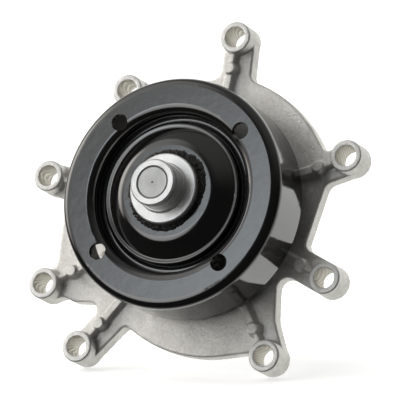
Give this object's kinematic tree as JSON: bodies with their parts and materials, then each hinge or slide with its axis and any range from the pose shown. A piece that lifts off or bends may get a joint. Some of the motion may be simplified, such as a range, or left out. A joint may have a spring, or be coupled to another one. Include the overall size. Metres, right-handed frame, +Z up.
{
  "type": "engine water pump",
  "caption": "Engine coolant pump: cast plate with bolted arms, belt pulley welded to a hub on a bearing shaft, face seal and vaned impeller.",
  "frame": {"origin": "where the pump axis meets the plane of the mounting face", "axes": "+Y along the pump axis towards the engine, -Y towards the pulley, +Z up with the two lowest bolt bosses level, +X to the right as seen from the pulley"},
  "size_m": [0.1763, 0.1, 0.1759],
  "materials": {
    "cast_aluminium": "die-cast, fine shot-blasted grain",
    "black_rubber": "matte",
    "bearing_steel": "ground and polished",
    "shaft_steel": "ground, with a turned end face",
    "cage_plastic": "glass-filled nylon",
    "machined_steel": "turned, bright",
    "weld_metal": "rough, painted over",
    "black_paint": "glossy black",
    "seal_brass": "drawn sheet",
    "spring_steel": "drawn stainless",
    "carbon": "lapped graphite",
    "ceramic": "lapped ceramic",
    "impeller_iron": "cast, machined at the bore"
  },
  "bodies": {
    "housing": {"housing": "cast_aluminium", "face_seal": "black_rubber", "bearing_outer_ring": "bearing_steel", "front_bearing_seal": "black_rubber", "rear_bearing_seal": "black_rubber", "seal_cup": "seal_brass", "seal_bellows": "black_rubber", "seal_spring": "spring_steel"},
    "rotor": {"bearing_shaft": "shaft_steel", "pulley_hub": "machined_steel", "weld_bead": "weld_metal", "pulley": "black_paint", "slinger": "black_rubber", "mating_ring": "ceramic", "mating_ring_boot": "black_rubber", "impeller_bush": "machined_steel", "impeller": "impeller_iron"},
    "roller_train": {"front_rollers": "bearing_steel", "front_cage": "cage_plastic"},
    "ball_train": {"rear_balls": "bearing_steel", "rear_cage": "cage_plastic"},
    "seal_face": {"seal_retainer": "spring_steel", "carbon_ring": "carbon"}
  },
  "joints": [
    {"name": "shaft_spin", "type": "hinge", "parent": "housing", "child": "rotor", "pos_m": [0, 0, 0], "axis": [0, -1, 0], "continuous": true},
    {"name": "roller_train_spin", "type": "hinge", "parent": "housing", "child": "roller_train", "pos_m": [0, 0, 0], "axis": [0, -1, 0], "continuous": true},
    {"name": "ball_train_spin", "type": "hinge", "parent": "housing", "child": "ball_train", "pos_m": [0, 0, 0], "axis": [0, -1, 0], "continuous": true},
    {"name": "seal_face_float", "type": "slide", "parent": "housing", "child": "seal_face", "axis": [0, -1, 0], "range_m": [0, 0.0015], "stiffness_N_per_m": 15000, "springref_m": -0.001, "deforming": ["seal_spring", "seal_bellows"]}
  ],
  "couplings": [
    {"joint": "roller_train_spin", "follows": "shaft_spin", "ratio": 0.3642},
    {"joint": "ball_train_spin", "follows": "shaft_spin", "ratio": 0.3232}
  ]
}
